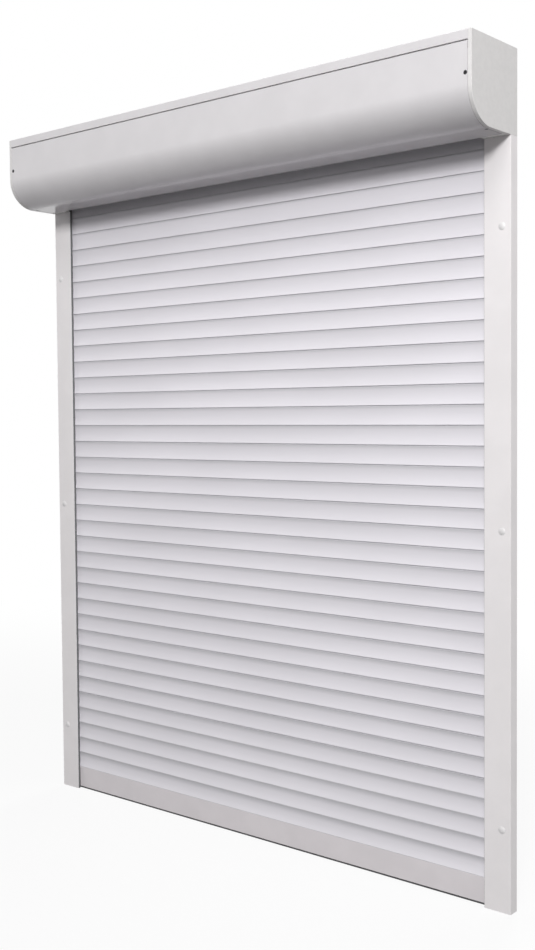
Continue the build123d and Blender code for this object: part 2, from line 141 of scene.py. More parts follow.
class NodeSheet:
    """The nodes of one material or of the world."""

    def __init__(self, tree):
        self.tree = tree
        tree.nodes.clear()

    def node(self, kind, settings, values, out=0):
        """Adds a node with its settings, then the values or links of its sockets.

        Gives the output asked for, or the node itself where it has none.
        """
        made = self.tree.nodes.new(kind)
        for setting, value in settings.items():
            setattr(made, setting, value)
        for socket, value in values.items():
            if isinstance(value, Signal):
                self.tree.links.new(value.socket, made.inputs[socket])
            else:
                made.inputs[socket].default_value = value
        return Signal(self, made.outputs[out]) if made.outputs else made

    def seen(self):
        """1 for what the camera, a mirror or glass sees, and 0 for the light on other things."""
        camera, mirror, glass = (
            self.node("ShaderNodeLightPath", {}, {}, ray)
            for ray in ("Is Camera Ray", "Is Glossy Ray", "Is Transmission Ray")
        )
        total = camera + mirror + glass
        return self.node("ShaderNodeMath", {"operation": "MINIMUM"}, {0: total, 1: 1.0})


class Finish(NodeSheet):
    """One material: a Principled surface and the nodes that feed it."""

    def __init__(self, name, constants):
        self.material = bpy.data.materials.new(name)
        self.material.use_nodes = True
        super().__init__(self.material.node_tree)
        self.surface = self.tree.nodes.new("ShaderNodeBsdfPrincipled")
        for socket, value in constants.items():
            self.surface.inputs[socket].default_value = value
        self.lit = Signal(self, self.surface.outputs[0])
        self.result = self.node("ShaderNodeOutputMaterial", {}, {0: self.lit})
        self.place = self.node("ShaderNodeTexCoord", {}, {}, "Object")

    def noise(self, size, detail=2.0, stretch=(1, 1, 1), rough=0.5):
        """Cloudy noise whose features are about size millimetres across."""
        scale = [1 / (size * mm * along) for along in stretch]
        scaled = {0: self.place, 1: scale}
        place = self.node("ShaderNodeVectorMath", {"operation": "MULTIPLY"}, scaled)
        values = {"Vector": place, "Scale": 1.0, "Detail": detail, "Roughness": rough}
        return self.node("ShaderNodeTexNoise", {}, values)

    def cells(self, size, out="Distance"):
        """Cells about size millimetres across."""
        values = {"Vector": self.place, "Scale": 1 / (size * mm)}
        return self.node("ShaderNodeTexVoronoi", {"feature": "F1"}, values, out)

    def mix(self, low, high, share):
        """A colour from low to high by share."""
        values = {0: share, 6: low, 7: high}
        return self.node("ShaderNodeMix", {"data_type": "RGBA"}, values, 2)

    def feed(self, socket, signal):
        """Links a signal to a socket of the surface."""
        self.tree.links.new(signal.socket, self.surface.inputs[socket])

    def relief(self, height, depth):
        """Raises the surface by height times depth millimetres."""
        values = {"Strength": 1.0, "Distance": depth * mm, "Height": height}
        self.feed("Normal", self.node("ShaderNodeBump", {}, values))


def shade(colour, factor):
    """A colour made lighter or darker by a factor, worked out here and not in nodes."""
    return tuple(min(1.0, part * factor) for part in colour[:3]) + (1.0,)


top_dust = 0.33


def powder_coat(name, colour, rough=0.54, peel=1.6, depth=0.03, mottle=0.02, cloud=70, settled=0.0):
    """Sprayed and baked coating: soft cloudy tone, fine orange peel and a few specks of dust.

    With settled above 0 the coat is duller the more it faces up, and dustiest on the flat top.
    Facing down it gets glossier, all but the flat underside, which keeps the plain gloss.
    """
    finish = Finish(name, {"Specular IOR Level": 0.45})
    tone = finish.noise(cloud, 3.0)
    grain = finish.noise(peel * 0.5, 2.0)
    dust = finish.cells(9.0).between(0.06, 0.02) * finish.noise(25.0, 1.0).between(0.55, 0.75)
    body = finish.mix(shade(colour, 1 - mottle), shade(colour, 1 + mottle), tone.between(0.3, 0.7))
    body = finish.mix(body, shade(colour, 1 - 3 * mottle), grain.between(0.58, 0.8) * 0.5)
    body = finish.mix(body, shade(colour, 0.86), dust * 0.5)
    finish.feed("Base Color", body)
    dull = rough - 0.05 + 0.1 * finish.noise(30.0, 3.0) + 0.08 * dust
    if settled:
        facing = finish.node("ShaderNodeNewGeometry", {}, {}, "Normal")
        upward = finish.node("ShaderNodeSeparateXYZ", {}, {0: facing}, "Z")
        dull = dull + settled * upward - settled * upward.between(-0.96, -0.995)
        dull = dull + top_dust * upward.between(0.6, 0.98)
    finish.feed("Roughness", dull)
    peel_height = finish.noise(peel, 2.0) + 0.35 * finish.noise(peel * 0.3, 1.0)
    finish.relief(peel_height, depth)
    return finish.material


# Bluish grey of the slats' joints: some dirt, and painted shade in the grooves and under the lips.
joint_dirt_and_shade_colour = (0.29, 0.3, 0.31, 1)


def enamel_strip(name, colour):
    """Roll-coated strip of the slats: satin paint with a drawn grain, and dirt and painted shade
    along the joints.
    """
    finish = Finish(name, {"Specular IOR Level": 0.4})
    drawn = finish.noise(0.9, 2.0, stretch=(60, 1, 1))
    tone = finish.noise(160.0, 2.0, stretch=(2.2, 1, 1))
    body = finish.mix(shade(colour, 0.975), shade(colour, 1.02), tone.between(0.3, 0.7))
    body = finish.mix(body, shade(colour, 0.95), drawn.between(0.5, 0.85) * 0.5)
    # Painted shade with some dirt: a mesh attribute darkens the enamel towards the joint grey.
    dirt_and_shade = finish.node("ShaderNodeAttribute", {"attribute_name": "dirt_and_shade"}, {}, 2)
    body = finish.mix(body, joint_dirt_and_shade_colour, dirt_and_shade * (0.75 + 0.25 * finish.noise(12.0, 2.0)))
    finish.feed("Base Color", body)
    finish.feed("Roughness", 0.44 + 0.12 * drawn)
    finish.relief(0.6 * drawn + 0.4 * finish.noise(1.1, 2.0), 0.018)
    return finish.material


def plastic(name, colour, rough):
    """Moulded plastic with a fine eroded grain and a little unevenness in tone."""
    finish = Finish(name, {"Specular IOR Level": 0.5})
    tone = finish.noise(14.0, 2.0)
    skin = finish.noise(0.35, 3.0, rough=0.6)
    body = finish.mix(shade(colour, 0.95), shade(colour, 1.05), tone.between(0.3, 0.7))
    finish.feed("Base Color", body)
    finish.feed("Roughness", rough + 0.14 * (skin - 0.5))
    finish.relief(skin, 0.02)
    return finish.material


def rubber(name, colour):
    """Dark extruded rubber with a dull bloom and fine lines along its length."""
    finish = Finish(name, {"Specular IOR Level": 0.35})
    lines = finish.noise(0.6, 2.0, stretch=(50, 1, 1))
    bloom = finish.noise(22.0, 4.0).between(0.45, 0.8)
    finish.feed("Base Color", finish.mix(colour, shade(colour, 2.6), bloom * 0.5))
    finish.feed("Roughness", 0.66 + 0.18 * bloom)
    finish.relief(lines, 0.03)
    return finish.material


def pile(name, colour):
    """Woven pile of the brush seals: light and dark fibres side by side."""
    finish = Finish(name, {"Specular IOR Level": 0.25, "Sheen Weight": 0.3})
    fibres = finish.noise(0.35, 2.0, stretch=(1, 5, 1))
    dark, light = shade(colour, 0.6), shade(colour, 1.25)
    finish.feed("Base Color", finish.mix(dark, light, fibres.between(0.35, 0.65)))
    finish.feed("Roughness", 0.8 + 0.15 * fibres)
    finish.relief(fibres, 0.08)
    return finish.material


def zinc(name, colour):
    """Hot-dip zinc on steel: crystal spangle, each crystal with its own tone and lay."""
    finish = Finish(name, {"Metallic": 1.0})
    crystal = finish.cells(14.0, "Color")
    tone = finish.node("ShaderNodeSeparateColor", {}, {0: crystal}, 0)
    lay = finish.node("ShaderNodeSeparateColor", {}, {0: crystal}, 1)
    haze = finish.noise(40.0, 4.0)
    dark, light = shade(colour, 0.8), shade(colour, 1.15)
    finish.feed("Base Color", finish.mix(dark, light, 0.6 * tone + 0.4 * haze))
    finish.feed("Roughness", 0.3 + 0.16 * lay + 0.1 * haze)
    finish.relief(0.5 * tone + finish.noise(1.2, 3.0), 0.02)
    return finish.material


def drawn_steel(name, colour, rough, along=(40, 1, 1), size=0.5):
    """Steel with fine marks along one direction and faint stains."""
    finish = Finish(name, {"Metallic": 1.0})
    marks = finish.noise(size, 3.0, stretch=along)
    stain = finish.noise(18.0, 4.0).between(0.5, 0.8)
    clean, stained = shade(colour, 1.05), shade(colour, 0.7)
    finish.feed("Base Color", finish.mix(clean, stained, 0.5 * stain + 0.3 * marks))
    finish.feed("Roughness", rough + 0.15 * marks + 0.12 * stain)
    finish.relief(marks, 0.012)
    return finish.material


# Each finish by the name of its slot
finishes = {
    "cover_finish": powder_coat("box_coat", (0.71, 0.69, 0.705, 1), rough=0.46, settled=0.145),
    "plate_finish": powder_coat(
        "plate_coat", (0.755, 0.74, 0.735, 1), rough=0.58, peel=1.1, depth=0.05, cloud=9
    ),
    "rail_finish": powder_coat("rail_coat", (0.88, 0.85, 0.857, 1)),
    "slat_finish": enamel_strip("slat_enamel", (0.845, 0.822, 0.868, 1)),
    "bar_finish": powder_coat("bar_coat", (0.80, 0.758, 0.778, 1), mottle=0.025),
    "seal_rubber": rubber("seal_rubber", (0.06, 0.059, 0.062, 1)),
    "brush_seal": pile("brush_pile", (0.17, 0.175, 0.18, 1)),
    "white_plastic": plastic("plug_plastic", (0.8, 0.785, 0.79, 1), rough=0.46),
    "grey_plastic": plastic("dark_nylon", (0.10, 0.10, 0.105, 1), rough=0.5),
    "zinc_steel": zinc("zinc_coat", (0.62, 0.63, 0.65, 1)),
    "screw_steel": drawn_steel("screw_steel", (0.055, 0.055, 0.058, 1), 0.36, (1, 1, 1), 0.7),
    "spring_steel": drawn_steel("spring_steel", (0.36, 0.39, 0.46, 1), 0.26, (1, 30, 30)),
    "bearing_steel": drawn_steel("bearing_steel", (0.66, 0.66, 0.66, 1), 0.18),
    "motor_finish": powder_coat(
        "motor_enamel", (0.46, 0.47, 0.49, 1), rough=0.36, peel=0.9, depth=0.02
    ),
}


# Shapes


def rounded(points, radii, steps=4):
    """A closed outline with its corners rounded; radii is one radius, or one for each corner.

    A corner whose sides are too short for its radius gets the largest that fits.
    """
    if not hasattr(radii, "__len__"):
        radii = [radii] * len(points)
    out = []
    for i, radius in enumerate(radii):
        before, corner, after = (Vector(points[(i + k) % len(points)]) for k in (-1, 0, 1))
        come, go = (corner - before), (after - corner)
        turn = come.angle_signed(go)
        reach = min(radius * math.tan(abs(turn) / 2), 0.45 * come.length, 0.45 * go.length)
        if radius == 0 or abs(turn) < 0.05:
            out.append(tuple(corner))
            continue
        first = corner - come.normalized() * reach
        last = corner + go.normalized() * reach
        fitted_radius = reach / math.tan(abs(turn) / 2)
        inward = Vector((-come.y, come.x)).normalized()
        if inward.dot(last - first) < 0:
            inward = -inward
        centre = first + inward * fitted_radius
        spoke = first - centre
        full = spoke.angle_signed(last - centre)
        for k in range(steps + 1):
            angle = -full * k / steps
            c, s = math.cos(angle), math.sin(angle)
            out.append((centre.x + c * spoke.x - s * spoke.y, centre.y + s * spoke.x + c * spoke.y))
    return out


def arc_through(start, middle, end, steps):
    """Points on the circle through three points, with both ends."""
    (ax, ay), (bx, by), (cx, cy) = start, middle, end
    d = 2 * (ax * (by - cy) + bx * (cy - ay) + cx * (ay - by))
    a2, b2, c2 = ax * ax + ay * ay, bx * bx + by * by, cx * cx + cy * cy
    ux = (a2 * (by - cy) + b2 * (cy - ay) + c2 * (ay - by)) / d
    uy = (a2 * (cx - bx) + b2 * (ax - cx) + c2 * (bx - ax)) / d
    first = math.atan2(ay - uy, ax - ux)
    mid = math.atan2(by - uy, bx - ux)
    last = math.atan2(cy - uy, cx - ux)
    radius = math.hypot(ax - ux, ay - uy)
    sweep = (last - first) % math.tau
    if (mid - first) % math.tau > sweep:
        sweep -= math.tau
    angles = [first + sweep * k / steps for k in range(steps + 1)]
    return [(ux + radius * math.cos(a), uy + radius * math.sin(a)) for a in angles]


def arc(centre, radius, start, stop, steps):
    """Points on a circle from start to stop degrees."""
    out = []
    for k in range(steps + 1):
        angle = math.radians(start + (stop - start) * k / steps)
        out.append((centre[0] + radius * math.cos(angle), centre[1] + radius * math.sin(angle)))
    return out


def across(a, b, along):
    """Section in Y and Z, drawn along X."""
    return (along * mm, a * mm, b * mm)


def upright(a, b, along):
    """Section in X and Y, drawn along Z."""
    return (a * mm, b * mm, along * mm)


def add_prism(bm, loops, place, start, stop):
    """Adds a straight closed length of a section: its outer loop, then the loops of its hollows."""
    ends = []
    for along in (start, stop):
        ends.append([[bm.verts.new(place(a, b, along)) for a, b in loop] for loop in loops])
    for first, last in zip(*ends):
        for i in range(len(first)):
            bm.faces.new((first[i - 1], first[i], last[i], last[i - 1]))
    for rings in ends:
        if len(rings) == 1:
            bm.faces.new(rings[0])
        else:
            edges = []
            for ring in rings:
                edges += [bm.edges.get((ring[i - 1], ring[i])) for i in range(len(ring))]
            bmesh.ops.triangle_fill(bm, use_beauty=True, edges=edges)


def add_rings(bm, rings, closed=False):
    """Adds the skin through rings of equal length; a ring of one point closes it to a tip."""
    made = [[bm.verts.new(point) for point in ring] for ring in rings]
    for low, high in zip(made, made[1:]):
        count = max(len(low), len(high))
        for i in range(count):
            if len(low) == 1:
                corners = [low[0], high[i], high[i - 1]]
            elif len(high) == 1:
                corners = [low[i - 1], low[i], high[0]]
            else:
                corners = [low[i - 1], low[i], high[i], high[i - 1]]
            bm.faces.new(corners)
    if closed:
        bm.faces.new(made[0])
        bm.faces.new(made[-1])
    return made


def add_turned(bm, profile, centre, direction, sides=40):
    """Adds a turned shape: profile is radius and height along direction, in millimetres."""
    axis = Vector(direction).normalized()
    turn = axis.to_track_quat("Z", "Y").to_matrix()
    rings = []
    for radius, height in profile:
        if radius == 0:
            rings.append([Vector(centre) * mm + axis * height * mm])
            continue
        ring = []
        for k in range(sides):
            angle = math.tau * k / sides
            spoke = turn @ Vector((math.cos(angle), math.sin(angle), 0)) * radius
            ring.append((Vector(centre) + spoke + axis * height) * mm)
        rings.append(ring)
    add_rings(bm, rings)


def add_object(name, data):
    """Puts a mesh, lamp or camera into the scene."""
    made = bpy.data.objects.new(name, data)
    bpy.context.scene.collection.objects.link(made)
    return made


sharp_turn = math.radians(35)


def finish_piece(name, bm, body, slot, replaced):
    """Makes a mesh a piece: shading, finish, the body it rides on, the nodes it replaces."""
    bmesh.ops.recalc_face_normals(bm, faces=bm.faces)
    for face in bm.faces:
        face.smooth = True
    for edge in bm.edges:
        edge.smooth = edge.is_manifold and edge.calc_face_angle(0) < sharp_turn
    mesh = bpy.data.meshes.new(name)
    bm.to_mesh(mesh)
    bm.free()
    piece = add_object(name, mesh)
    mesh.materials.append(finishes[slot])
    even = piece.modifiers.new("even_faces", "WEIGHTED_NORMAL")
    even.keep_sharp = True
    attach(piece, body)
    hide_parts(*replaced)


def dress(node, slot, edge):
    """Gives a CAD node its finish and eased edges; its mesh and place stay as they are."""
    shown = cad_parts[node]
    shown.data.materials.clear()
    shown.data.materials.append(finishes[slot])
    weld = shown.modifiers.new("join_faces", "WELD")
    weld.merge_threshold = 0.01 * mm
    ease = shown.modifiers.new("eased_edges", "BEVEL")
    ease.width = edge * mm
    ease.segments = 2
    ease.limit_method = "ANGLE"
    ease.angle_limit = math.radians(40)
    even = shown.modifiers.new("even_faces", "WEIGHTED_NORMAL")
    even.keep_sharp = False


def cut_away(bm, cutter):
    """Takes the cutter's shape out of a mesh and gives the mesh that is left."""
    made = []
    for name, source in (("blank", bm), ("cutter", cutter)):
        bmesh.ops.recalc_face_normals(source, faces=source.faces)
        mesh = bpy.data.meshes.new(name)
        source.to_mesh(mesh)
        source.free()
        made.append(add_object(name, mesh))
    blank, tool = made
    cut = blank.modifiers.new("cut", "BOOLEAN")
    cut.operation = "DIFFERENCE"
    cut.solver = "EXACT"
    cut.object = tool
    bpy.context.view_layer.update()
    left = bmesh.new()
    left.from_object(blank, bpy.context.evaluated_depsgraph_get())
    for spent in made:
        mesh = spent.data
        bpy.data.objects.remove(spent)
        bpy.data.meshes.remove(mesh)
    return left


# Box: rear and top sheet with the tongue behind the cover's upper edge

tongue_y = front_y + sheet + 1.8
casing_outer = [
    (wall_y, box_bottom),
    (wall_y, box_top),
    (front_y, box_top),
    (front_y, seam_top),
    (tongue_y, seam_top),
    (tongue_y, seam_top - tongue_length),
]
casing_inner = [
    (wall_y - sheet, box_bottom),
    (wall_y - sheet, box_top - sheet),
    (front_y + sheet, box_top - sheet),
    (front_y + sheet, seam_top + sheet),
    (tongue_y + sheet, seam_top + sheet),
    (tongue_y + sheet, seam_top - tongue_length),
]
bends_outer = [0.2, 1.7, 1.7, 0.5, 0.1, 0.2]
bends_inner = [0.2, 0.5, 0.1, 0.1, 0.5, 0.2]
casing_loop = rounded(casing_outer + casing_inner[::-1], bends_outer + bends_inner[::-1])
bm = bmesh.new()
add_prism(bm, [casing_loop], across, -sheet_half, sheet_half)
finish_piece("casing_sheet", bm, "housing", "cover_finish", ["box_casing"])

# Cover: front, quarter round, flat underside and a rear edge turned up over a small bead

cover_outer = [(front_y, seam_bottom)]
cover_outer += arc((arc_y, arc_z), cover_radius, 180, 270, 40)
hem_centre = (hem_y - hem_radius, box_bottom + hem_radius - bead)
cover_outer += arc(hem_centre, hem_radius, 245, 360, 10)
cover_outer.append((hem_y, box_bottom + hem_height))
cover_inner = [(front_y + sheet, seam_bottom)]
cover_inner += arc((arc_y, arc_z), cover_radius - sheet, 180, 270, 40)
hem_centre = (hem_y - hem_radius, box_bottom + hem_radius - bead + 0.4)
cover_inner += arc(hem_centre, hem_radius - sheet, 245, 360, 10)
cover_inner.append((hem_y - sheet, box_bottom + hem_height))
cover_loop = cover_outer + cover_inner[::-1]
cut_edges = (0, len(cover_outer) - 1, len(cover_outer), len(cover_loop) - 1)
edge_radii = [0.35 if i in cut_edges else 0 for i in range(len(cover_loop))]
cover_loop = rounded(cover_loop, edge_radii, 3)

screw_places = []
for side in (-1, 1):
    screw_x = side * (plate_inner - screw_inset)
    screw_places.append(((screw_x, front_y, front_screw_z), (0, -1, 0)))
    screw_places.append(((screw_x, under_screw_y, box_bottom), (0, 0, -1)))

bm = bmesh.new()
add_prism(bm, [cover_loop], across, -cover_half, cover_half)
cutter = bmesh.new()
screw_sink = [(0, 1), (4.3, 1), (4.3, 0), (3.65, -0.35), (3.0, -2), (0, -2)]
for centre, direction in screw_places:
    add_turned(cutter, screw_sink, centre, direction, 36)
bm = cut_away(bm, cutter)
finish_piece("cover_sheet", bm, "housing", "cover_finish", ["inspection_cover"])

# End plates: a rim flush with the sheets, a flange inside them, a tab and a spigot for the rail

plate_corner = 1.4
tongue_room = 1.5


def plate_outline(inset):
    """The box's side view with slightly rounded corners, drawn in by inset."""
    points = [
        (arc_y, box_bottom + inset),
        (wall_y - inset, box_bottom + inset),
        (wall_y - inset, box_top - inset),
        (front_y + inset, box_top - inset),
        *arc((arc_y, arc_z), cover_radius - inset, 180, 270, 40)[:-1],
    ]
    radii = [0, plate_corner, plate_corner, plate_corner] + [0] * (len(points) - 4)
    return rounded(points, radii, 5)


def flange_sections(low, high):
    """Sections of the flange: two lengths that leave room for the tongue and the slats."""
    upper, lower = [], []
    for inset in (low, high):
        upper.append([
            (wall_y - inset, box_bottom + 35),
            (wall_y - inset, box_top - inset),
            (front_y + inset, box_top - inset),
            (front_y + inset, seam_top + tongue_room),
        ])
        lower.append([
            (front_y + inset, seam_bottom - tongue_length - tongue_room),
            *arc((arc_y, arc_z), cover_radius - inset, 180, 270, 30),
            (hem_y - sheet - 1, box_bottom + inset),
        ])
    return [outer + inner[::-1] for outer, inner in (upper, lower)]


rim_steps = ((0.0, 0.0), (0.25, 0.0), (5.7, 0.0), (6.1, 0.12), (6.38, 0.4), (6.5, 0.8))
web_depth = web_inner - plate_inner
tab_height = 2.0
tab_play = 0.3
tab_rear = rail_front - tab_play
tab_front = hem_y + 0.4
spigot_play = 0.8
spigot_wall = 2.2
spigot_length = 40
spigot_in = half_clear + channel_depth + rail_wall + spigot_play
spigot_out = half_width - rail_wall - spigot_play
spigot_front = rail_front + rail_wall + spigot_play
spigot_rear = wall_y - rail_wall - spigot_play


def add_shell(bm, side):
    """Adds an end plate's outer face, its rim and the flat web within the rim."""
    rings = []
    for depth, inset in rim_steps:
        x = side * (plate_inner + depth)
        rings.append([across(a, b, x) for a, b in plate_outline(inset)])
    skin = add_rings(bm, rings)
    bm.faces.new(skin[-1])
    rings = []
    for depth in (0, web_depth):
        x = side * (plate_inner + depth)
        rings.append([across(a, b, x) for a, b in plate_outline(plate_rim)])
    well = add_rings(bm, rings)
    bm.faces.new(well[-1])
    low, high = skin[0], well[0]
    for i in range(len(low)):
        bm.faces.new((low[i - 1], low[i], high[i], high[i - 1]))


def add_tab(bm, side):
    """Adds the tab that closes the underside in front of the rail's top."""
    tab = [
        (side * (half_clear + tab_play), tab_front),
        (side * (plate_inner + 2.0), tab_front),
        (side * (plate_inner + 2.0), tab_rear),
        (side * (half_clear + tab_play), tab_rear),
    ]
    add_prism(bm, [rounded(tab, 0.4, 2)], upright, box_bottom + 0.02, box_bottom + tab_height)


def add_spigot(bm, side):
    """Adds the hollow spigot that stands in the rail's screw chamber."""
    loops = []
    for inset, corner in ((0, 0.6), (spigot_wall, 0.3)):
        corners = [
            (side * (spigot_in + inset), spigot_front + inset),
            (side * (spigot_out - inset), spigot_front + inset),
            (side * (spigot_out - inset), spigot_rear - inset),
            (side * (spigot_in + inset), spigot_rear - inset),
        ]
        loops.append(rounded(corners, corner, 3))
    add_prism(bm, loops, upright, box_bottom - spigot_length, box_bottom + plate_rim)


for side, name in ((-1, "left"), (1, "right")):
    bm = bmesh.new()
    add_shell(bm, side)
    flange_start = side * (plate_inner - flange_length)
    for loop in flange_sections(flange_inset, flange_inset + flange_wall):
        add_prism(bm, [loop], across, flange_start, side * (web_inner + 0.2))
    add_tab(bm, side)
    add_spigot(bm, side)
    finish_piece(f"plate_{name}", bm, "housing", "plate_finish", [f"end_plate_{name}"])

# Countersunk screws with a cross recess, each turned its own way

head_radius = 3.5
head_depth = 0.12
recess_depth = 1.3
shank_rings = ((3.45, -0.35), (1.45, -1.9), (1.45, -7.2), (0.5, -8))
round_sides = 36


def cross_loop(arm, half):
    """Outline of a cross recess."""
    quarter = [(half, half), (arm, half), (arm, -half)]
    out = []
    for _ in range(4):
        out += quarter
        quarter = [(b, -a) for a, b in quarter]
    return out


def add_cross_screw(bm, centre, direction, angle):
    """Adds a screw that looks along direction, with its recess turned by the angle."""
    facing = Vector(direction).to_track_quat("Z", "Y").to_matrix()
    turn = facing @ Matrix.Rotation(angle, 3, "Z")

    def ring_at(points, height):
        """New corners at a height over the head's seat."""
        spots = [Vector(centre) + turn @ Vector((a, b, height)) for a, b in points]
        return [bm.verts.new(spot * mm) for spot in spots]

    rim = ring_at(arc((0, 0), head_radius, 0, 360, round_sides)[:-1], -head_depth)
    mouth = ring_at(cross_loop(2.1, 0.45), -head_depth)
    seat = ring_at(cross_loop(0.9, 0.3), -recess_depth)
    edges = []
    for ring in (rim, mouth):
        edges += [bm.edges.new((ring[i - 1], ring[i])) for i in range(len(ring))]
    bmesh.ops.triangle_fill(bm, use_beauty=True, edges=edges)
    for i in range(len(mouth)):
        bm.faces.new((mouth[i - 1], mouth[i], seat[i], seat[i - 1]))
    bm.faces.new(seat)
    below = [
        ring_at(arc((0, 0), radius, 0, 360, round_sides)[:-1], height)
        for radius, height in shank_rings
    ]
    for low, high in zip([rim] + below, below):
        for i in range(round_sides):
            bm.faces.new((low[i - 1], low[i], high[i], high[i - 1]))
    bm.faces.new(below[-1])


bm = bmesh.new()
for centre, direction in screw_places:
    add_cross_screw(bm, centre, direction, draw.uniform(0, math.pi))
finish_piece("screw_heads", bm, "housing", "screw_steel", ["cover_screws"])

# Guide rails: a channel with two lips for the brushes, beside a closed screw chamber

claw_reach = 3.0
lip_out = half_clear + lip_length
channel_end = half_clear + channel_depth
lip_low = rail_middle - channel_width / 2
lip_high = rail_middle + channel_width / 2
inner_low = rail_front + rail_wall
inner_high = wall_y - rail_wall
claw_in = half_clear + claw_reach
claw_out = lip_out - claw_reach
rail_loop = [
    (half_clear, rail_front),
    (half_width, rail_front),
    (half_width, wall_y),
    (half_clear, wall_y),
    (half_clear, lip_high),
    (claw_in, lip_high),
    (claw_in, lip_high + rail_wall),
    (half_clear + rail_wall, lip_high + rail_wall),
    (half_clear + rail_wall, inner_high),
    (lip_out - rail_wall, inner_high),
    (lip_out - rail_wall, lip_high + rail_wall),
    (claw_out, lip_high + rail_wall),
    (claw_out, lip_high),
    (lip_out, lip_high),
    (lip_out, inner_high),
    (channel_end, inner_high),
    (channel_end, inner_low),
    (lip_out, inner_low),
    (lip_out, lip_low),
    (claw_out, lip_low),
    (claw_out, lip_low - rail_wall),
    (lip_out - rail_wall, lip_low - rail_wall),
    (lip_out - rail_wall, inner_low),
    (half_clear + rail_wall, inner_low),
    (half_clear + rail_wall, lip_low - rail_wall),
    (claw_in, lip_low - rail_wall),
    (claw_in, lip_low),
    (half_clear, lip_low),
]
chamber_loop = [
    (channel_end + rail_wall, inner_low),
    (half_width - rail_wall, inner_low),
    (half_width - rail_wall, inner_high),
    (channel_end + rail_wall, inner_high),
]
rail_radii = [0.5] * 5 + [0.2] * (len(rail_loop) - 6) + [0.5]
rail_loop = rounded(rail_loop, rail_radii, 3)
chamber_loop = rounded(chamber_loop, 0.5, 3)
front_hole = [(0, 1), (6.75, 1), (6.75, 0), (6.5, -0.25), (6.5, -2), (0, -2)]
rear_hole = [(0, 1), (3.5, 1), (3.5, 0), (3.25, -0.25), (3.25, -2), (0, -2)]
for side, name in ((-1, "left"), (1, "right")):
    bm = bmesh.new()
    sections = [[(side * a, b) for a, b in loop] for loop in (rail_loop, chamber_loop)]
    add_prism(bm, sections, upright, 0, rail_height)
    cutter = bmesh.new()
    for height in hole_heights:
        add_turned(cutter, front_hole, (side * hole_x, rail_front, height), (0, -1, 0), 44)
        add_turned(cutter, rear_hole, (side * hole_x, wall_y, height), (0, 1, 0), 36)
    bm = cut_away(bm, cutter)
    finish_piece(f"rail_{name}", bm, "housing", "rail_finish", [f"guide_rail_{name}"])

# Domed plugs in the rail fronts

plug_radius = 7.0
dome_height = 1.8
dome_edge = plug_radius - 0.15
dome_steps = 8
dome_radius = (plug_radius**2 + dome_height**2) / (2 * dome_height)
dome = [(0, dome_height)]
for step in range(1, dome_steps + 1):
    angle = math.asin(dome_edge / dome_radius) * step / dome_steps
    fall = dome_radius * (1 - math.cos(angle))
    dome.append((dome_radius * math.sin(angle), dome_height - fall))
dome += [(plug_radius, 0.12), (6.95, 0.0), (6.3, 0.0), (6.3, -2.0), (5.9, -5.2), (0, -5.2)]
bm = bmesh.new()
for side in (-1, 1):
    for height in hole_heights:
        add_turned(bm, dome, (side * hole_x, rail_front, height), (0, -1, 0), 44)
finish_piece("plug_caps", bm, "housing", "white_plastic", ["rail_plugs"])

# Brush seals: a dark pile strip over each lip's inner face, which paints the shade that face lies
# in, a backing in each lip and a row of leaning tufts

seal_inset = 0.5
# The dark strip that paints the shade on each lip's inner face
shade_strip_proud = 0.5
shade_strip_sunk = 0.15
shade_strip_front = rail_front + 0.8
shade_strip_rear = lip_low - 0.3
backing_from_middle = 8.15
backing_half = (2.55, 1.55)
tuft_root = 6.7
tuft_reach = 4.35
tuft_foot = (0.85, 1.15)
tuft_tip = (0.6, 0.75)
first_tuft = 1.4
tuft_step = 2.35
top_room = 2.5


def oblong(a, b):
    """Corners of an oblong that reaches a and b from its middle."""
    return [(-a, -b), (a, -b), (a, b), (-a, b)]


def add_tufts(bm, pile_x, face):
    """Adds a row of tufts up a rail; face is -1 for the front lip and 1 for the rear one."""
    foot_y = rail_middle + face * tuft_root
    z = first_tuft
    while z < rail_height - top_room:
        lean = draw.uniform(-0.5, 0.5)
        tip_y = rail_middle + face * (tuft_reach + draw.uniform(0, 0.35))
        middle = z + tuft_foot[1]
        low = [upright(pile_x + dx, foot_y, middle + dz) for dx, dz in oblong(*tuft_foot)]
        high = [upright(pile_x + dx, tip_y, middle + lean + dz) for dx, dz in oblong(*tuft_tip)]
        add_rings(bm, [low, high], closed=True)
        z += tuft_step


bm = bmesh.new()
for side in (-1, 1):
    # Painted shade: a dark strip over the lip's inner face, which lies in shade.
    strip = [
        (side * (half_clear + shade_strip_sunk), shade_strip_front),
        (side * (half_clear - shade_strip_proud), shade_strip_front),
        (side * (half_clear - shade_strip_proud), shade_strip_rear),
        (side * (half_clear + shade_strip_sunk), shade_strip_rear),
    ]
    shade_strip_loop = rounded(strip, [0, 0.3, 0.3, 0], 2)
    add_prism(bm, [shade_strip_loop], upright, seal_inset, rail_height - 0.4)
    pile_x = side * (half_clear + lip_length / 2)
    for face in (-1, 1):
        root_y = rail_middle + face * backing_from_middle
        backing = [(pile_x + dx, root_y + dy) for dx, dy in oblong(*backing_half)]
        add_prism(bm, [rounded(backing, 0.3, 2)], upright, seal_inset, rail_height - seal_inset)
        add_tufts(bm, pile_x, face)
finish_piece("seal_brushes", bm, "housing", "brush_seal", ["rail_seals"])

# Slats: hollow to the front, full to the rear, with a hook above and a pocket below

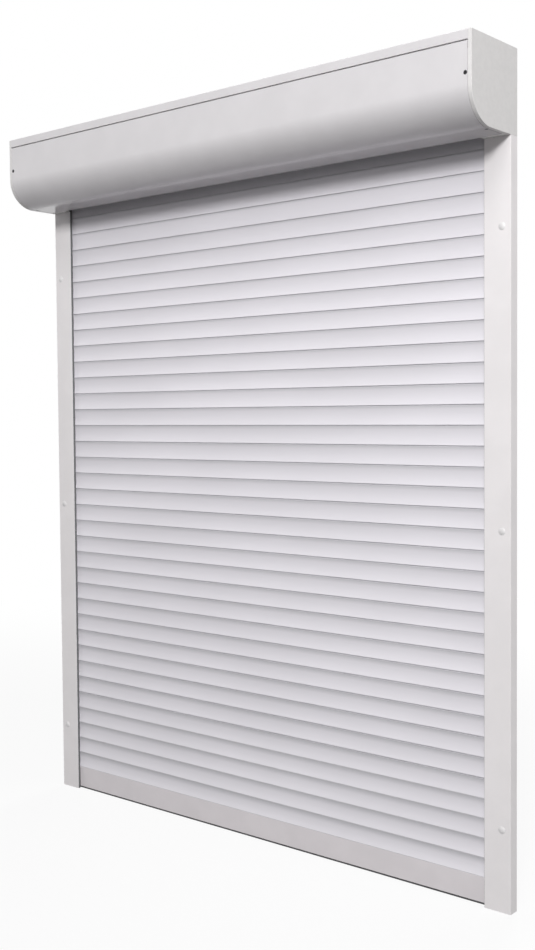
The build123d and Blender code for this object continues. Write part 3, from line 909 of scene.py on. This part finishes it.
front_top = (-slat_half, slat_body - 0.1)
front_middle = (-slat_half + slat_bow, slat_body / 2)
front_face = arc_through((-slat_half, 0), front_middle, front_top, 22)
shoulder = slat_half - slat_bow
rear_face = arc_through((shoulder, slat_body), (slat_half, slat_body / 2), (shoulder, 0), 18)
pocket = [(-0.6, 0), (-0.6, 1.8), (1.1, 1.8), (1.1, 4.8), (-2.2, 4.8), (-2.2, 0)]
front_radii = [1.2] + [0] * (len(front_face) - 2) + [1.2]
rear_radii = [0.5] + [0] * (len(rear_face) - 2) + [0.5]
pocket_radii = [0.3, 0.2, 0.3, 0.3, 0.3, 0.3]
slat_loop = rounded(front_face + rear_face + pocket, front_radii + rear_radii + pocket_radii, 4)
hook_front, hook_rear = -1.8, 0.8
hook_foot, hook_top = 39.1, 40.3
hook_head = [
    (hook_front, hook_foot),
    (hook_rear, hook_foot),
    (hook_rear, hook_top),
    (hook_front, hook_top),
]
hook_loop = rounded(hook_head, [0.1, 0.4, 0.4, 0.4], 3)
neck_rear = -0.9
neck_foot = slat_body - 0.4
neck_top = hook_foot + 0.2
neck_loop = [
    (hook_front, neck_foot),
    (neck_rear, neck_foot),
    (neck_rear, neck_top),
    (hook_front, neck_top),
]
clip_steps = ((0, 0), (1.1, 0), (1.4, 0.15), (1.5, 0.5))
clip_half = (2.4, 13)
clip_sunk = 0.02
clip_y = rail_middle + slat_bow / 2


def add_end_clip(bm, foot, side):
    """Clip that keeps a slat from sliding along the hook of the one below."""
    middle_z = foot + slat_body / 2
    rings = []
    for depth, inset in clip_steps:
        corners = oblong(clip_half[0] - inset, clip_half[1] - inset)
        loop = rounded([(clip_y + a, middle_z + b) for a, b in corners], 0.8, 3)
        rings.append([across(a, b, side * (slat_end + depth - clip_sunk)) for a, b in loop])
    add_rings(bm, rings, closed=True)


# Shares of the joint grey: painted shade with some dirt in the neck's groove and under each lower
# lip, most under the lowest slat's lip on the bar.
neck_dirt_and_shade = 0.36
lip_height = 1.2
front_half = rail_middle - 1.2


def lay_dirt_and_shade(bm, dirt_and_shade, foot, neck):
    """Paints shade, with some dirt, on a slat's neck, its lower lip and, fading down, the upper
    edge of its hollow front under the slat above.

    The lower a slat hangs, the wider and darker this painted shade is.
    """
    lowness = max(0.0, 1 - foot / rail_height)
    dirt_and_shade_band = 4.5 + 11.0 * lowness**1.5
    dirt_and_shade_depth = 0.4 + 0.18 * max(0.0, 2.2 * lowness - 1.2)
    lip_dirt_and_shade = 0.22 if foot > first_slat else 0.5
    for vert in bm.verts:
        if vert in neck:
            vert[dirt_and_shade] = neck_dirt_and_shade
        elif vert.co.y < front_half * mm:
            height = vert.co.z / mm - foot
            above = height - (slat_body - dirt_and_shade_band)
            if height < lip_height:
                vert[dirt_and_shade] = lip_dirt_and_shade
            elif 0 < above < dirt_and_shade_band + 1:
                vert[dirt_and_shade] = dirt_and_shade_depth * min(1.0, above / dirt_and_shade_band) ** 1.5


for number in range(1, slat_count + 1):
    if number <= closed_slats:
        foot = first_slat + (number - 1) * closed_pitch
    else:
        foot = first_hanging + (number - 1 - closed_slats) * open_pitch
    bm = bmesh.new()
    dirt_and_shade = bm.verts.layers.float.new("dirt_and_shade")
    for loop in (slat_loop, hook_loop, neck_loop):
        before = set(bm.verts)
        placed = [(rail_middle + a, foot + b) for a, b in loop]
        add_prism(bm, [placed], across, -slat_end, slat_end)
    neck = set(bm.verts) - before
    # Painted shade with some dirt in the slat's joints.
    lay_dirt_and_shade(bm, dirt_and_shade, foot, neck)
    if number % 2 == 0:
        for side in (-1, 1):
            add_end_clip(bm, foot, side)
    body = "bar" if number <= closed_slats else f"slat_{number:02d}"
    finish_piece(f"curtain_slat_{number:02d}", bm, body, "slat_finish", [f"slat_{number:02d}"])

# CAD nodes that keep their shape: the slot of each and its eased edge

dressed = {
    "inlet_guides": ("grey_plastic", 0.5),
    "bottom_bar": ("bar_finish", 0.5),
    "bottom_seal": ("seal_rubber", 0.3),
    "bar_end_caps": ("grey_plastic", 0.3),
    "barrel_tube": ("zinc_steel", 0.25),
    "tubular_motor": ("motor_finish", 0.5),
    "motor_crown": ("grey_plastic", 0.4),
    "drive_wheel": ("grey_plastic", 0.4),
    "motor_bracket": ("zinc_steel", 0.5),
    "end_capsule": ("grey_plastic", 0.4),
    "ball_bearing": ("bearing_steel", 0.3),
    "bearing_bracket": ("zinc_steel", 0.5),
    "hanger_straps": ("spring_steel", 0.12),
}
for node, (slot, edge) in dressed.items():
    dress(node, slot, edge)

# Floor: pale to the camera, grey to the light, with the object's shadow

floor_mesh = bmesh.new()
rings = [[(0, 0, 0)]]
for radius in (1.0, 2.0, 4.0, 8.0, 16.0, 40.0):
    rings.append([(x, y, 0) for x, y in arc((0, 0), radius, 0, 360, 96)[:-1]])
add_rings(floor_mesh, rings)
mesh = bpy.data.meshes.new("floor")
floor_mesh.to_mesh(mesh)
floor_mesh.free()
floor = add_object("floor", mesh)
floor.location.z = -0.5 * mm

shown_floor = 0.86
shadow_near = 1.2
shadow_far = 3.5
ground = Finish("floor_white", {"Roughness": 0.9})
seen = ground.seen()
grit = ground.noise(40.0, 3.0)
grey = ground.mix((0.16, 0.16, 0.16, 1), (0.18, 0.18, 0.18, 1), grit)
ground.feed("Base Color", ground.mix(grey, (shown_floor, shown_floor, shown_floor, 1), seen))
length = ground.node("ShaderNodeVectorMath", {"operation": "LENGTH"}, {0: ground.place}, "Value")
away = length.between(shadow_near, shadow_far)
share = seen * (shown_floor + (1 - shown_floor) * away)
glow = ground.node("ShaderNodeEmission", {}, {})
blend = ground.node("ShaderNodeMixShader", {}, {0: share, 1: ground.lit, 2: glow})
ground.tree.links.new(blend.socket, ground.result.inputs[0])
mesh.materials.append(ground.material)

# Light: a white surround, which lights the object only weakly, and five soft boxes

fill_light = 0.16
world = bpy.data.worlds.new("studio")
bpy.context.scene.world = world
world.use_nodes = True
studio = NodeSheet(world.node_tree)
level = fill_light + (1 - fill_light) * studio.seen()
sky = studio.node("ShaderNodeBackground", {}, {"Color": (1, 1, 1, 1), "Strength": level})
studio.node("ShaderNodeOutputWorld", {}, {0: sky})


def soft_box(name, place, target, size, power):
    """A square soft box that points at a target; metres and watts."""
    light = bpy.data.lights.new(name, "AREA")
    light.shape = "SQUARE"
    light.size = size
    light.energy = power
    box = add_object(name, light)
    box.location = place
    box.rotation_euler = (Vector(target) - Vector(place)).to_track_quat("-Z", "Y").to_euler()


soft_box("key_box", (3.1, -4.3, 3.3), (0, 0, 2.4), 1.2, 238)
soft_box("top_box", (1.4, -1.9, 4.1), (0.2, 0, 0.9), 1.8, 45)
soft_box("left_box", (-4.0, -2.0, 2.6), (-0.2, 0, 0.6), 1.6, 14)
soft_box("right_box", (4.2, 0.2, 1.8), (0.5, 0, 0.8), 1.6, 22)
soft_box("rear_box", (-1.2, 4.4, 1.5), (0, 0, 0.8), 1.6, 110)

# Camera at the photograph's angle, from the fit of the slat and rail lines; pixels and radians

picture_width, picture_height = 535, 950
sensor = 36.0
focal = 1204.86
centre_x, centre_y = 292.73, 468.13
yaw, pitch, roll = 0.69568, 0.04353, 0.00740
turn = Matrix.Rotation(yaw, 3, "Z")
ahead = turn @ Vector((0, math.cos(pitch), -math.sin(pitch)))
level_right = turn @ Vector((1, 0, 0))
level_down = ahead.cross(level_right)
right = math.cos(roll) * level_right + math.sin(roll) * level_down
down = math.cos(roll) * level_down - math.sin(roll) * level_right
camera_data = bpy.data.cameras.new("camera")
camera_data.sensor_width = sensor
camera_data.lens = sensor * focal / picture_height
camera_data.shift_x = (picture_width / 2 - centre_x) / picture_height
camera_data.shift_y = (centre_y - picture_height / 2) / picture_height
camera_data.clip_start = 0.05
camera = add_object("camera", camera_data)
stance = Matrix((right, -down, -ahead)).transposed().to_4x4()
stance.translation = Vector((1.64993, -1.78462, 0.87920))
camera.matrix_world = stance
bpy.context.scene.camera = camera
bpy.context.scene.view_settings.view_transform = "Standard"
